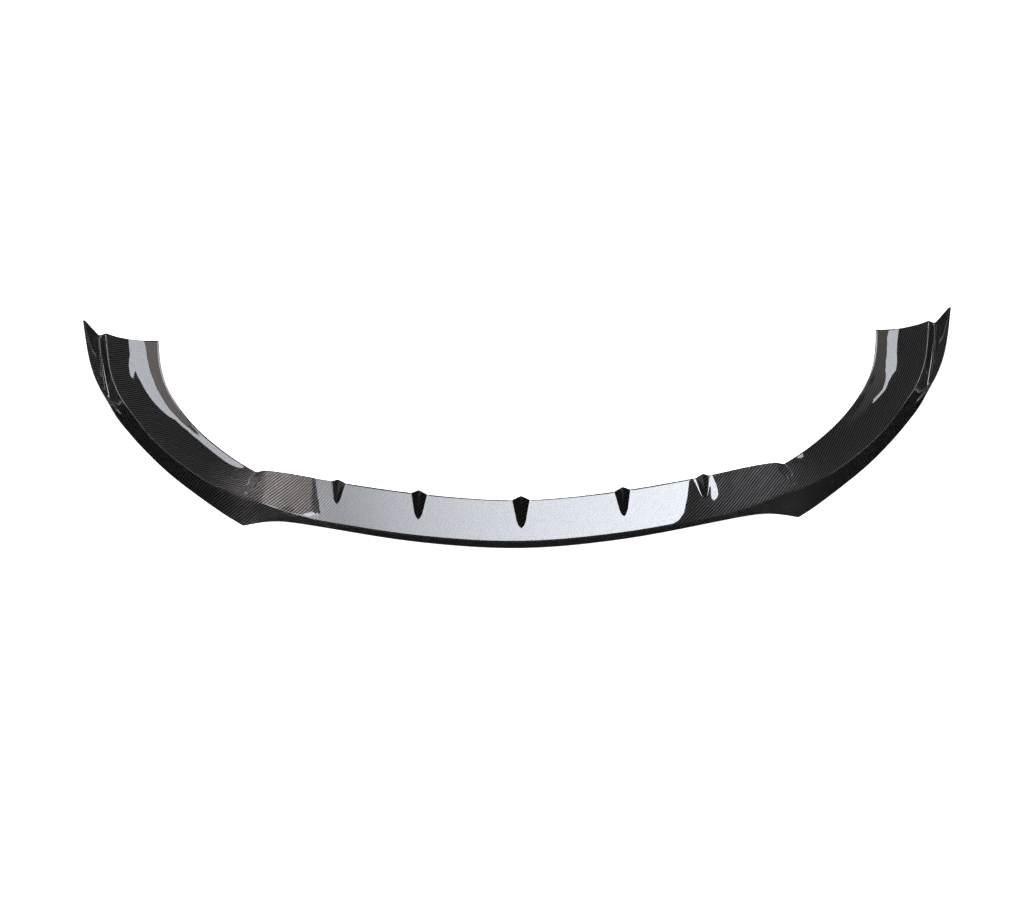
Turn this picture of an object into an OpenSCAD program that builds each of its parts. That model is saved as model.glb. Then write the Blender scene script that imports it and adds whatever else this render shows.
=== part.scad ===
// Front splitter lip: one moulded shell that wraps the lower edge of a bumper.
// Lengths are in millimetres, angles in degrees.
// Frame: X to the right, Y to the rear, Z up. The origin is on the floor,
// under the middle of the part's box; the front edge faces -Y.
// The shape is the same on both sides of the plane X = 0.

/* [Overall size] */
// width across the two winglet tips
overall_w = 1800; // [1500:10:2000]
// depth from the middle of the front edge to the winglet tips
overall_d = 508; // [420:4:600]
// height of the winglet tips above the floor
overall_h = 103; // [80:1:140]

/* [Centre section] */
// height of the front band at the middle
front_h = 22; // [16:1:30]
// height of the rear edge at the middle
rear_h = 64; // [52:1:80]
// front to rear depth of the raised centre surface
centre_d = 70; // [58:1:84]
// half distance between the two pointed front corners
corner_x = 547; // [530:1:560]

/* [Wings] */
// height of the sharp crease where a wing starts
crease_h = 58; // [50:1:66]
// height of the inner edge of a wing
inner_h = 42; // [32:1:48]
// power of the cove curve: 1 is flat, larger is more hollow
cove_power = 2.75; // [1.6:0.05:3.6]
// how far the rounded end of the cove bows toward the middle
pool_bow = 5; // [0:0.5:9]

/* [Winglets] */
// height of the valley between the crease and a winglet, at the cut end
valley_h = 61; // [54:1:66]
// thickness of a winglet along its top edge
winglet_t = 5; // [3:0.5:7]

/* [Moulding] */
// wall of the shell
wall = 3; // [2:0.25:4]
// radius of the crease
crease_r = 3; // [1.5:0.5:5]
// width of the flange turned in along the bottom
flange_w = 28; // [14:1:38]

/* [Fins] */
// width of the middle fin at the rear edge
fin_w = 33; // [24:1:40]
// length of the middle fin, front to rear
fin_l = 46; // [34:1:52]
// rise of the middle fin above the rear edge
fin_h = 15.5; // [8:0.5:20]
// width of a fin at its nose, as a share of its width at the rear
fin_taper = 0.36; // [0.25:0.01:0.6]
// distance of the second fins from the middle
fin_x1 = 198; // [180:1:215]
// distance of the outer fins from the middle
fin_x2 = 359; // [345:1:372]
// size of the second fins as a share of the middle one
fin_s1 = 0.9; // [0.7:0.01:1]
// size of the outer fins as a share of the middle one
fin_s2 = 0.78; // [0.6:0.01:1]

/* [Hidden] */

// Distance of the pointed corners behind the middle of the front edge.
corner_y = 62;
// Reach of the wing drawing from a corner to the winglet tip.
wing_x = 353;
wing_y = 446;
// A row of a wing: places beside and behind the corner, stretched to the
// overall size, and a height that is kept.
function wing(x, y, z) = [
  corner_x + x * (overall_w / 2 - corner_x) / wing_x,
  corner_y + y * (overall_d - corner_y) / wing_y,
  z
];

// Inner edge, one row for each numbered station, middle to cut end.
// On the wings only X and Y are read; inner_z gives the height there.
a_rail = [
  [0, centre_d, rear_h],
  [fin_x1, centre_d + 19.5, rear_h + 0.5],
  [fin_x2, centre_d + 49.5, rear_h + 2],
  [corner_x - 122, centre_d + 64.5, rear_h + 4],
  [corner_x - 77, centre_d + 72.5, rear_h + 6.5],
  [corner_x - 47, centre_d + 76, rear_h + 8],
  wing(-26, 98, inner_h),
  wing(-2, 115, inner_h),
  wing(37, 145, inner_h),
  wing(89, 193, inner_h),
  wing(128, 239, inner_h),
  wing(159, 285, inner_h),
  wing(182, 332, inner_h),
  wing(197, 384, inner_h),
  wing(206, 438, inner_h)
];

// Crease between the top surface and the outer band.
c_rail = [
  [0, 0.5, front_h],
  [fin_x1 + 5, 18.5, front_h - 0.5],
  [fin_x2 + 8, 50, front_h + 0.5],
  [corner_x - 107, 65, front_h + 12],
  [corner_x - 57, 74, crease_h - 6],
  [corner_x - 7, 92, crease_h],
  wing(20, 41, crease_h + 0.5),
  wing(56, 60, crease_h + 1),
  wing(98, 90, crease_h + 1.5),
  wing(151, 135, crease_h + 2.5),
  wing(194, 180, crease_h + 3.5),
  wing(231, 230, crease_h + 5),
  wing(264, 279, crease_h + 7),
  wing(292, 346, crease_h + 9),
  wing(311, 438, crease_h + 12)
];

// Bottom edge of the outer band, on the floor; station 5 is the sharp corner.
e_rail = [
  [0, 0, 0],
  [fin_x1 + 5, 18.5, 0],
  [fin_x2 + 8, 51.5, 0],
  [corner_x - 107, 66.5, 0],
  [corner_x - 55, 72, 0],
  [corner_x, corner_y, 0],
  wing(33, 23, 0),
  wing(65, 48, 0),
  wing(103, 79, 0),
  wing(156, 125, 0),
  wing(210, 181, 0),
  wing(253, 232, 0),
  wing(289, 282, 0),
  wing(319, 348, 0),
  wing(333, 438, 0)
];

// Station where the raised centre surface ends and the cove starts.
kink = 5;
// Station where the winglet starts to leave the band.
start = 11;
// Station of the cut end.
last = 14;
// Shares of the way down the band where its two middle lines run.
band_hi = 0.34;
band_lo = 0.48;

// Height of the winglet's top edge: at its start on the band, then rising.
start_h = c_rail[start][2] * (1 - band_lo);
function winglet_h(share) = mix(start_h, overall_h, share);

// Foot of the winglet's inner face, from its start to the cut end.
v_rail = [
  mix(c_rail[start], e_rail[start], band_hi),
  wing(283, 276, winglet_h(0.18) + 2),
  wing(308, 349, valley_h - 7.5),
  wing(326, 438, valley_h)
];

// Outer top edge of the winglet, from its start to the tip.
w_rail = [
  mix(c_rail[start], e_rail[start], band_lo),
  wing(294, 281, winglet_h(0.18)),
  wing(331, 350, winglet_h(0.55)),
  [overall_w / 2, overall_d, winglet_h(1)]
];

// Smooth curve through the rows of a rail; the tangents at its ends are straight.
function spline(p, u) =
  let(
    n = len(p) - 1,
    i = min(max(floor(u), 0), n - 1),
    t = u - i,
    p1 = p[i],
    p2 = p[i + 1],
    p0 = i > 0 ? p[i - 1] : 2 * p1 - p2,
    p3 = i + 2 <= n ? p[i + 2] : 2 * p2 - p1,
    m1 = (p2 - p0) / 2,
    m2 = (p3 - p1) / 2
  )
  (2 * t * t * t - 3 * t * t + 1) * p1 + (t * t * t - 2 * t * t + t) * m1
  + (3 * t * t - 2 * t * t * t) * p2 + (t * t * t - t * t) * m2;

// The first row seen from the other side, so a rail crosses X = 0 level.
function mirrored(p) = concat([[-p[1][0], p[1][1], p[1][2]]], p);

function part_of(p, i, j) = [for (k = [i:j]) p[k]];

// A rail that is smooth all along.
function smooth_rail(p, u) = spline(mirrored(p), u + 1);

// A rail with a corner at the kink station.
function broken_rail(p, u) =
  u <= kink ? spline(mirrored(part_of(p, 0, kink)), u + 1) : spline(part_of(p, kink, last), u - kink);

function unit2(v) = [v[0], v[1], 0] / norm([v[0], v[1]]);
function mix(p, q, t) = p + (q - p) * t;
// Quarter circle from 0 to 1: steep at first, then level.
function quarter(t) = sqrt(1 - pow(1 - min(max(t, 0), 1), 2));

// Height of the inner edge of the cove; it starts below the raised edge.
function inner_z(u) = u <= kink ? a_rail[kink][2] : max(inner_h, inner_h + 8 - 4 * (u - kink));

// Share of the drop into the cove: a ramp at the inner edge, a rounded wall beside it.
function drop_share(t, s) =
  let(k = min(max(t, 0), 1))
  mix(k, quarter(k), min(1, 2.5 * s));

// Bow of the station lines beside the kink, toward the middle.
function bow(u) = pool_bow * max(0, 1 - abs(u - kink) / 1.2);

// Point of the top surface: s = 0 on the inner edge, 1 on the crease.
function top_point(u, s) =
  let(
    a = broken_rail(a_rail, u),
    c = smooth_rail(c_rail, u),
    b = bow(u) * 4 * s * (1 - s),
    high = mix(a_rail[kink][2], c[2], s),
    low = c[2] - (c[2] - inner_z(u)) * (1 - pow(s, cove_power)),
    z = u <= kink ? mix(a[2], c[2], s) : mix(high, low, drop_share(u - kink, s))
  )
  [mix(a[0], c[0], s) - b, mix(a[1], c[1], s), z];

// Outward normal of the top surface, taken over a wide step so that the wall
// turns smoothly under the sharp end of the cove.
function top_normal(u, s) =
  let(
    du = top_point(min(u + 0.2, last), s) - top_point(u - 0.2, s),
    ds = top_point(u, min(s + 0.02, 1)) - top_point(u, max(s - 0.02, 0)),
    n = cross(ds, du)
  )
  n / norm(n);

// Fins: station, share of the full size.
fins = [[0, 1], [1, fin_s1], [2, fin_s2]];
function fin_half(size) = fin_w * size / 2;
// Share of the section that a fin covers, at a fin and in between.
function fin_reach(size) = fin_l * size / centre_d;
function reach_at(u) = fin_reach(lookup(u, fins));
// Rounded nose: 1 along the fin, falling to 0 at its front.
function fin_nose(x) = x <= 0.68 ? 1 : (x >= 1 ? 0 : sqrt(1 - pow((x - 0.68) / 0.32, 2)));
// Straight taper from the rear edge to the nose.
function fin_body(x) = 1 - (1 - fin_taper) * min(1, x);
// How far the lines of a fin stay apart: they close in at its nose and open again.
function fin_spread(x) = x < 1 ? max(0.22, fin_nose(x)) : min(1, 0.22 + (x - 1));
// Half width of the set of lines that follows a fin.
function fin_width(size, x) = fin_half(size) * fin_body(x) * fin_spread(x);
// Ridge over the width of a fin: a crest with full sides and a soft foot.
fin_foot = 1.3;
function ridge(t) =
  abs(t) < 1 ? 0.07 + 0.93 * (1 - abs(t)) * (1 + 0.55 * abs(t)) : 0.07 * (fin_foot - abs(t)) / (fin_foot - 1);
// Rise of a fin at lateral place t (in half widths) and share x of its length.
function fin_rise(size, t, x) = fin_h * pow(size, 1.6) * fin_body(x) * fin_nose(x) * ridge(t);

// Places across a fin where lines of the surface run, in half widths.
fin_lines = [-fin_foot, -1, -0.82, -0.45, 0, 0.45, 0.82, 1, fin_foot];

// Every station of the right half: [station, fin number or -1, lateral place].
function fin_set(k) = [for (t = fin_lines) [k, k, t]];
function plain(list) = [for (u = list) [u, -1, 0]];
half_stations = concat(
  [for (t = fin_lines) if (t > 0) [0, 0, t]],
  plain([0.25:0.25:0.75]),
  fin_set(1),
  plain([1.25:0.25:1.75]),
  fin_set(2),
  plain([2.4, 2.7, 3, 3.3, 3.6, 3.9, 4.15, 4.4, 4.6, 4.78, 4.92]),
  plain([5, 5.03, 5.1, 5.22, 5.4, 5.62, 5.85, 6.1, 6.5]),
  plain([7:0.4:11]),
  plain([11.25, 11.5, 11.7, 11.85, 12, 12.15, 12.3, 12.5]),
  plain([12.75:0.25:14])
);

// Distance along X per unit of station number, at depth s.
function step_w(u, s) =
  let(d = top_point(u + 0.05, s) - top_point(u - 0.05, s))
  d[0] / 0.1;

// Station number of a surface line at depth s.
function line_u(st, s) =
  st[1] < 0 ? st[0] :
  let(size = fins[st[1]][1])
  st[0] + st[2] * fin_width(size, s / fin_reach(size)) / step_w(st[0], s);

// Lines of the top surface from the inner edge to a fin's nose, and on to the crease.
nose_lines = [0, 0.08, 0.22, 0.38, 0.54, 0.68, 0.8, 0.89, 0.96, 1];
front_lines = [0.2, 0.45, 0.7, 0.88];
// Share of the section at which the rounding of the crease starts.
function round_from(u) = 1 - crease_r / norm(top_point(u, 0) - smooth_rail(c_rail, u));
function top_lines(u) =
  let(r = reach_at(u), room = round_from(u) - r)
  concat([for (x = nose_lines) x * r], [for (x = front_lines) r + room * x]);

// Point of the finished top: the surface and the fin on it.
function face_point(st, s) =
  let(
    p = top_point(line_u(st, s), s),
    size = st[1] < 0 ? 1 : fins[st[1]][1],
    rise = st[1] < 0 ? 0 : fin_rise(size, st[2], s / fin_reach(size))
  )
  p + [0, 0, rise];

// The band's middle lines; past the start station they part into valley and winglet.
function valley(u, c, e) = u < start ? mix(c, e, band_hi) : spline(v_rail, u - start);
function crown(u, c, e) = u < start ? mix(c, e, band_lo) : spline(w_rail, u - start);

// Outer side of the band and the winglet, crease to bottom edge.
function band_points(u) =
  let(
    c = smooth_rail(c_rail, u),
    e = broken_rail(e_rail, u),
    v = valley(u, c, e),
    w = crown(u, c, e),
    inward = unit2(broken_rail(a_rail, u) - e),
    open = min(1, max(0, u - start)),
    top_in = mix(mix(v, w, 0.6), w + inward * winglet_t, open),
    from_top = top_point(u, round_from(u)),
    on_band = c + (v - c) / norm(v - c) * crease_r
  )
  [
    from_top,
    (from_top + 2 * c + on_band) / 4,
    on_band,
    mix(on_band, v, 0.55),
    v,
    mix(v, top_in, 0.5),
    top_in,
    w,
    mix(w, e, 0.33),
    mix(w, e, 0.67),
    e
  ];

// Hidden side: flange, inside of the band, underside of the top surface.
under_lines = [0.94, 0.84, 0.7, 0.54, 0.38, 0.22, 0.08, 0];
function under_points(u) =
  let(
    c = smooth_rail(c_rail, u),
    e = broken_rail(e_rail, u),
    a = broken_rail(a_rail, u),
    v = valley(u, c, e),
    w = crown(u, c, e),
    inward = unit2(a - e),
    lift = min(1, max(0, u - start)),
    up = [0, 0, wall]
  )
  concat(
    [
      e + inward * flange_w,
      e + inward * flange_w + up,
      e + inward * wall + up,
      v + inward * wall * 1.1 - up * lift
    ],
    [for (s = under_lines) top_point(u, s) - wall * top_normal(u, s)]
  );

// One closed ring round the section.
function ring(st) =
  let(u = line_u(st, 0))
  concat(
    [for (s = top_lines(st[0])) face_point(st, s)],
    band_points(line_u(st, 1)),
    under_points(u)
  );

// The rails start at the front edge; the box is centred on the origin.
function placed(p) = [p[0], p[1] - overall_d / 2, p[2]];
function other_side(p) = [-p[0], p[1], p[2]];

module splitter_lip() {
  right = [for (st = half_stations) [for (p = ring(st)) placed(p)]];
  middle = [for (p = ring([0, 0, 0])) placed(p)];
  n = len(right);
  rings = concat(
    [for (i = [n - 1:-1:0]) [for (p = right[i]) other_side(p)]],
    [middle],
    right
  );
  m = len(middle);
  count = len(rings);
  // Outer points of a ring, and the hidden point that faces each of them.
  outer = len(top_lines(0)) + 11;
  facing = [for (i = [0:outer - 1]) m - 1 - round(i * (m - 1 - outer) / (outer - 1))];
  points = [for (r = rings) for (p = r) p];
  skin = [
    for (i = [0:count - 2]) for (j = [0:m - 1])
      let(a = i * m + j, b = i * m + (j + 1) % m)
      each [[a, b + m, b], [a, a + m, b + m]]
  ];
  cap = [
    for (j = [0:outer - 2])
      let(p = j, q = j + 1, r = facing[j + 1], s = facing[j])
      each (r == s ? [[p, q, s]] : [[p, q, s], [q, r, s]])
  ];
  end = (count - 1) * m;
  color("#23262b")
    polyhedron(
      points = points,
      faces = concat(skin, cap, [for (f = cap) [f[0] + end, f[2] + end, f[1] + end]]),
      convexity = 10
    );
}

splitter_lip();
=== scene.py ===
# %% [markdown]
# Front splitter lip
#
# The object is a splitter lip: a wide shallow shell that wraps the lower edge of a car's bumper.
# It is laid up in a mould from carbon cloth and clear resin, so it has no joints and no fasteners.
# Its look comes from three things: long clean curves, a woven cloth that shows through the resin,
# and the sharp reflections of a long lamp in the polished surface.
#
# The lesson goes from shape to finish. First the shell is drawn as a few long curves, then sections
# are hung between them, then the cloth is laid on the shell, and last come the lamps and the camera.

import bmesh
import bpy
import numpy as np
from mathutils import Matrix, Vector


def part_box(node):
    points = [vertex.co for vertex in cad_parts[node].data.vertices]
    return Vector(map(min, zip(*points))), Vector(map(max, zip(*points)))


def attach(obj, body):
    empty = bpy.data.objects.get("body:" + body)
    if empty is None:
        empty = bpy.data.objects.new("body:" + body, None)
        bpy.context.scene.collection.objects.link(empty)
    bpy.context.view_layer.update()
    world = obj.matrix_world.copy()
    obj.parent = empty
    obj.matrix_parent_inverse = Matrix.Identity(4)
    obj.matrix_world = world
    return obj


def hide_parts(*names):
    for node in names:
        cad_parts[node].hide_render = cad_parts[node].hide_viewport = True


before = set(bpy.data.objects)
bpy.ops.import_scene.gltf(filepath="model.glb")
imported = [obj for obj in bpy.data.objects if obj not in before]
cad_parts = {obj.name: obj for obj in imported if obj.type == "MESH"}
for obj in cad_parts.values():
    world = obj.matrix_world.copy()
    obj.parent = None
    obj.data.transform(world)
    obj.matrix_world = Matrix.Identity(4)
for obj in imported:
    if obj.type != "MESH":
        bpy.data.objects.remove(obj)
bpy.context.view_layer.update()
low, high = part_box("splitter_lip")
MM = 0.001
half_w = high.x / MM
depth = (high.y - low.y) / MM
tip_h = high.z / MM
print(f"box of the solid: {2 * half_w:.0f} x {depth:.0f} x {tip_h:.0f} mm")

# %% [markdown]
# Named sizes
#
# The shell could be modelled by pushing points of a mesh about, but then no size in it has a name.
# Here each size that a maker would quote is named once, in millimetres, and the rest follows. The
# part is drawn at numbered stations from its middle, number 0, to the cut end of a wing. Number 5 is
# the kink at the pointed corner, and the winglet starts to rise at number 11.

# %% Sizes
front_h, rear_h = 22, 64
centre_d = 70
corner_x, corner_y = 547, 62
crease_h, inner_h, valley_h = 58, 42, 61
fin_x1, fin_x2 = 198, 359
kink, start, last = 5, 11, 14
wing_x, wing_y = 353, 446
print(f"the pointed corner lies {corner_x} mm from the middle, and its crease {crease_h} mm up")

# %% [markdown]
# Rails
#
# A rail is a long curve that runs from the middle of the part to the cut end of a wing.
# Three rails carry the whole shell: the inner edge, the crease and the bottom edge. Fifteen
# stations are enough, because a smooth curve is drawn through them. Only the right half is drawn.


# %% Rails
def wing(x, y, z):
    """A row of a wing, measured from the pointed corner and stretched to the solid's box."""
    return (
        corner_x + x * (half_w - corner_x) / wing_x,
        corner_y + y * (depth - corner_y) / wing_y,
        z,
    )


inner_edge = [
    (0, centre_d, rear_h),
    (fin_x1, centre_d + 19.5, rear_h + 0.5),
    (fin_x2, centre_d + 49.5, rear_h + 2),
    (corner_x - 122, centre_d + 64.5, rear_h + 4),
    (corner_x - 77, centre_d + 72.5, rear_h + 6.5),
    (corner_x - 47, centre_d + 76, rear_h + 8),
]
wing_inner = [
    (-26, 98), (-2, 115), (37, 145), (89, 193), (128, 239), (159, 285), (182, 332), (197, 384), (206, 438),
]
inner_edge += [wing(x, y, inner_h) for x, y in wing_inner]

crease = [
    (0, 0.5, front_h),
    (fin_x1 + 5, 18.5, front_h - 0.5),
    (fin_x2 + 8, 50, front_h + 0.5),
    (corner_x - 107, 65, front_h + 12),
    (corner_x - 57, 74, crease_h - 6),
    (corner_x - 7, 92, crease_h),
    wing(20, 41, crease_h + 0.5),
    wing(56, 60, crease_h + 1),
    wing(98, 90, crease_h + 1.5),
    wing(151, 135, crease_h + 2.5),
    wing(194, 180, crease_h + 3.5),
    wing(231, 230, crease_h + 5),
    wing(264, 279, crease_h + 7),
    wing(292, 346, crease_h + 9),
    wing(311, 438, crease_h + 12),
]

bottom_edge = [
    (0, 0, 0),
    (fin_x1 + 5, 18.5, 0),
    (fin_x2 + 8, 51.5, 0),
    (corner_x - 107, 66.5, 0),
    (corner_x - 55, 72, 0),
    (corner_x, corner_y, 0),
]
wing_bottom = [
    (33, 23), (65, 48), (103, 79), (156, 125), (210, 181), (253, 232), (289, 282), (319, 348), (333, 438),
]
bottom_edge += [wing(x, y, 0) for x, y in wing_bottom]
inner_edge, crease, bottom_edge = (np.array(r, float) for r in (inner_edge, crease, bottom_edge))
print(f"three rails with {len(crease)} stations each")

# %% [markdown]
# Rails of the winglet
#
# Toward the cut end a winglet rises out of the steep outer band, with a valley between it and the
# crease. It could be a fin of its own, joined on. On a moulding it grows out of the band, so two more
# rails start on the band, at two shares of its height, and draw apart as they run back.


# %% Winglet rails
def mix(p, q, t):
    return p + (q - p) * t


band_hi, band_lo = 0.34, 0.48
first_rise, second_rise = 0.18, 0.55
start_h = crease[start][2] * (1 - band_lo)
valley_rail = np.array([
    mix(crease[start], bottom_edge[start], band_hi),
    wing(283, 276, mix(start_h, tip_h, first_rise) + 2),
    wing(308, 349, valley_h - 7.5),
    wing(326, 438, valley_h),
])
crown_rail = np.array([
    mix(crease[start], bottom_edge[start], band_lo),
    wing(294, 281, mix(start_h, tip_h, first_rise)),
    wing(331, 350, mix(start_h, tip_h, second_rise)),
    (half_w, depth, tip_h),
])
print(f"the winglet leaves the band {start_h:.0f} mm up and ends {tip_h:.0f} mm up")

# %% [markdown]
# A curve through the stations
#
# A gloss surface shows every change of curvature as a kink in its reflections. A plain curve through
# the rows turns smoothly but changes its curvature at each row, so the curve is averaged over about
# half a station. The average narrows to nothing at a corner or an end, which stay where they are.


# %% Curves
def through(rows, u):
    """Curve through rows at places u, where row k has place k."""
    ends = np.vstack([2 * rows[0] - rows[1], rows, 2 * rows[-1] - rows[-2]])
    i = np.clip(np.floor(u).astype(int), 0, len(rows) - 2)
    t = (u - i)[..., None]
    p0, p1, p2, p3 = (ends[i + k] for k in range(4))
    m1 = (p2 - p0) / 2
    m2 = (p3 - p1) / 2
    return (
        (2 * t**3 - 3 * t**2 + 1) * p1
        + (t**3 - 2 * t**2 + t) * m1
        + (3 * t**2 - 2 * t**3) * p2
        + (t**3 - t**2) * m2
    )


def averaged(rows, u, width=0.45):
    room = np.clip(np.minimum(u, len(rows) - 1 - u), 0, width)
    total = 0
    for offset, weight in ((-1, 1), (-0.5, 4), (0, 6), (0.5, 4), (1, 1)):
        total = total + weight / 16 * through(rows, u + offset * room)
    return total


flip = np.array([-1, 1, 1])


def smooth_rail(rows, u):
    """A rail with no corner; it crosses the middle of the part level."""
    both = np.vstack([rows[2] * flip, rows[1] * flip, rows])
    return averaged(both, np.asarray(u, float) + 2)


def broken_rail(rows, u):
    """A rail with a corner at the kink station."""
    u = np.asarray(u, float)
    centre = smooth_rail(rows[: kink + 1], np.minimum(u, kink))
    side = averaged(rows[kink:], np.maximum(u, kink) - kink)
    return np.where((u <= kink)[..., None], centre, side)


def from_band(share, rail, u):
    """A line on the band up to the start station, and the winglet's own rail after it."""
    on_band = mix(smooth_rail(crease, u), broken_rail(bottom_edge, u), share)
    own = averaged(rail, np.maximum(u - start, 0))
    return np.where((u < start)[..., None], on_band, own)


print("the crease between stations 2 and 3:", smooth_rail(crease, 2.5).round(1))

# %% [markdown]
# The top surface
#
# In the middle the top is a plain ramp. At the kink it breaks, and beside it the wings are
# hollowed like a cove, whose rounded end wall shows as a dark pool. One formula gives the place
# of any point from a station number and a share across, so lines can be laid wherever they help.


# %% Top surface
cove_power = 2.75
cove_drop, drop_over = 8, 3
pool_bow, bow_reach = 5, 1.6


def quarter(t):
    return np.sqrt(1 - (1 - np.clip(t, 0, 1)) ** 2)


def soft(t):
    t = np.clip(t, 0, 1)
    return t * t * (3 - 2 * t)


def inner_z(u):
    drop = 1 - np.clip((u - kink) / drop_over, 0, 1)
    return inner_h + cove_drop * drop**2


def top_point(u, s):
    """s is 0 on the inner edge and 1 on the crease."""
    u, s = np.broadcast_arrays(np.asarray(u, float), np.asarray(s, float))
    a = broken_rail(inner_edge, u)
    c = smooth_rail(crease, u)
    p = mix(a, c, s[..., None])
    p[..., 0] -= pool_bow * np.clip(1 - np.abs(u - kink) / bow_reach, 0, 1) ** 2 * 4 * s * (1 - s)
    t = np.clip(u - kink, 0, 1)
    drop = mix(t, quarter(t), soft(2 * s))
    high_z = mix(inner_edge[kink][2], c[..., 2], s)
    low_z = c[..., 2] - (c[..., 2] - inner_z(u)) * (1 - s**cove_power)
    p[..., 2] = np.where(u <= kink, p[..., 2], mix(high_z, low_z, drop))
    return p


def top_normal(u, s):
    du = top_point(np.minimum(u + 0.2, last), s) - top_point(u - 0.2, s)
    ds = top_point(u, np.minimum(s + 0.02, 1)) - top_point(u, np.maximum(s - 0.02, 0))
    n = np.cross(ds, du)
    return n / np.linalg.norm(n, axis=-1, keepdims=True)


span = np.linalg.norm(top_point(0.0, 0.0) - top_point(0.0, 1.0))
print(f"the ramp is {span:.1f} mm from edge to crease in the middle")

# %% [markdown]
# Fins
#
# Five small teeth stand on the rear edge. They could be separate meshes pushed into the shell, but
# in a moulding the surface flows up into them. So the lines of the surface bend to follow each
# fin, close in round its nose, and are lifted along it. A fin is told by its station and its size:
# the one in the middle is the largest, and the outer ones are smaller.

# %% Fins
fins = [(0, 1.0), (1, 0.9), (2, 0.78)]
fin_w, fin_l, fin_h, fin_taper = 33, 46, 15.5, 0.36
nose_from = 0.68
fin_foot = 1.6
fin_edge = 3.4
height_power = 1.6
crest_round, flank_bulge, foot_round = 0.02, 0.2, 0.12
narrowest = 0.22
tight = [0, 0.02, 0.06, 0.13, 0.22, 0.34, 0.48, 0.62, 0.75, 0.85, 0.92, 0.98, 1.04, 1.12, 1.22, 1.36, 1.6]
fin_lines = np.array(tight + [1.85, 2.15, 2.5, 2.9, 3.4])


def fin_reach(size):
    return fin_l * size / centre_d


def fin_nose(x):
    return np.sqrt(np.clip(1 - (np.clip(x - nose_from, 0, None) / (1 - nose_from)) ** 2, 0, 1))


def fin_body(x):
    return 1 - (1 - fin_taper) * np.clip(x, 0, 1)


def ridge(t):
    """Height across a fin: a narrow rounded crest, full sides and a hollow foot."""
    a = np.sqrt(t * t + crest_round**2) - crest_round
    side = (1 - a) * (1 + flank_bulge * a)
    body = (side + np.sqrt(side * side + foot_round**2)) / 2
    return body * soft((fin_foot - np.abs(t)) / (fin_foot - 1))


def fin_rise(size, t, x):
    return fin_h * size**height_power * fin_body(x) * fin_nose(x) * ridge(t)


def fin_offset(size, t, x):
    """How far beside a fin's centre its line t runs at share x of its length."""
    spread = np.where(x < 1, np.maximum(narrowest, fin_nose(x)), np.minimum(1, narrowest + (x - 1)))
    half = fin_w * size / 2
    near = half * fin_body(x) * spread
    a = np.abs(t)
    outer = mix(fin_foot * near, fin_edge * half, (a - fin_foot) / (fin_edge - fin_foot))
    return np.sign(t) * np.where(a <= fin_foot, a * near, outer)


print(f"the middle fin stands {float(fin_rise(1.0, 0.0, 0.0)):.1f} mm above the rear edge")

# %% [markdown]
# Stations
#
# Lines are needed close together only where the surface turns quickly: over the fins and round the
# kink. Elsewhere one every few millimetres is enough, because the shading between them is smooth.

# %% Stations
line_gap = 4.6
kink_room, end_room = 0.14, 0.03
fine = np.linspace(0, last, 2801)
steps = np.diff(smooth_rail(crease, fine), axis=0)
run = np.concatenate([[0], np.cumsum(np.linalg.norm(steps, axis=1))])
even = np.interp(np.arange(line_gap / 2, run[-1], line_gap), run, fine)


def per_station(u, s):
    """Distance along X that one station covers."""
    return (top_point(u + 0.05, s) - top_point(u - 0.05, s))[..., 0] / 0.1


def room_of(at_station, fin_size):
    """Stations that a fin's lines take up on either side of it."""
    return max(fin_edge * fin_w * fin_size / 2 / per_station(at_station, end) for end in (0.0, 1.0))


fin_room = [room_of(*fin) for fin in fins]
stations = [(0, 0, t) for t in fin_lines]
for number in (1, 2):
    stations += [(number, number, t) for t in np.concatenate([-fin_lines[:0:-1], fin_lines])]
for u in even:
    clear_of_fins = all(abs(u - place) > room + 0.01 for (place, _), room in zip(fins, fin_room))
    at_kink = kink - kink_room < u < kink + kink_room
    if clear_of_fins and not at_kink and u < last - end_room:
        stations.append((u, -1, 0.0))
before_kink, after_kink = 0.05, 0.012
kink_steps = 8
near_kink = [kink - 0.1, kink - before_kink, kink, kink + after_kink]
near_kink += [kink + x for x in (0.022, 0.035, 0.052, 0.075, 0.105, kink_room)]
stations += [(u, -1, 0.0) for u in near_kink + [last - 0.012, last]]
stations.sort(key=lambda row: (row[0] + 0.01 * row[2] * (row[1] >= 0)))
place, number, cross = (np.array(column, float) for column in zip(*stations))
size = np.where(number >= 0, np.array([s for _, s in fins])[number.astype(int).clip(0)], 1.0)
print(f"{len(stations)} lines on the right half")

# %% [markdown]
# Rings
#
# A ring is one closed section through the shell. Its sharp corners are not beveled afterwards,
# because a bevel on a bent surface leaves uneven strips. Each corner is drawn as a short arc
# instead, so the polished edges catch the light as thin even lines.


# %% Corners of a ring
def unit(v):
    return v / np.linalg.norm(v, axis=-1, keepdims=True)


def arc(before, corner, after, radius, count):
    """A soft corner: points from the side of before to the side of after."""
    reach = []
    for side in (before, after):
        v = side - corner
        far = np.linalg.norm(v, axis=-1, keepdims=True)
        reach.append(corner + v / far * np.minimum(radius, 0.48 * far))
    t = np.linspace(0, 1, count)[:, None]
    p, q = reach
    return (1 - t) ** 2 * p[:, None] + 2 * t * (1 - t) * corner[:, None] + t**2 * q[:, None]


def between(p, q, count):
    t = np.linspace(0, 1, count + 2)[1:-1, None]
    return p[:, None] + (q - p)[:, None] * t


def joined(arcs, counts):
    """Arcs with straight runs of points between each one and the next."""
    parts = [arcs[0]]
    for nxt, n in zip(arcs[1:], counts):
        parts += [between(parts[-1][:, -1], nxt[:, 0], n), nxt]
    return np.concatenate(parts, axis=1)


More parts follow.
